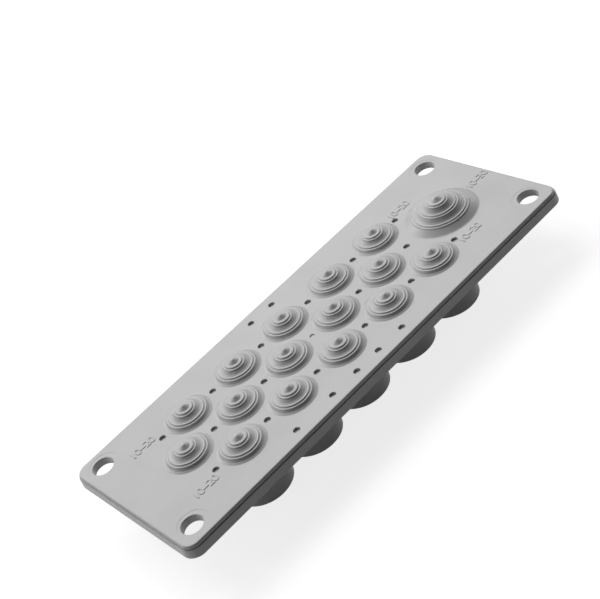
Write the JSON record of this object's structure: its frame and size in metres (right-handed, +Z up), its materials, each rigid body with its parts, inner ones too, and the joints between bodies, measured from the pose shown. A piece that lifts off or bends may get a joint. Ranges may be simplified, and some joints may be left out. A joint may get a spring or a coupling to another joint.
{
  "type": "cable entry plate",
  "caption": "Moulded plate with stepped cable membranes on the front, a round cup behind each and corner fixing holes, for closing a flange opening in an enclosure.",
  "frame": {"origin": "Centre of the plate in X and Y, at the height of the cup rims that it rests on.", "axes": "X along the plate's length, towards the large membrane; Y across it; Z up, out of the front."},
  "size_m": [0.2258, 0.086, 0.0319],
  "materials": {
    "moulding": "light grey moulded plastic, matt and slightly soft"
  },
  "bodies": {
    "root": {"entry_plate": "moulding"}
  },
  "joints": []
}
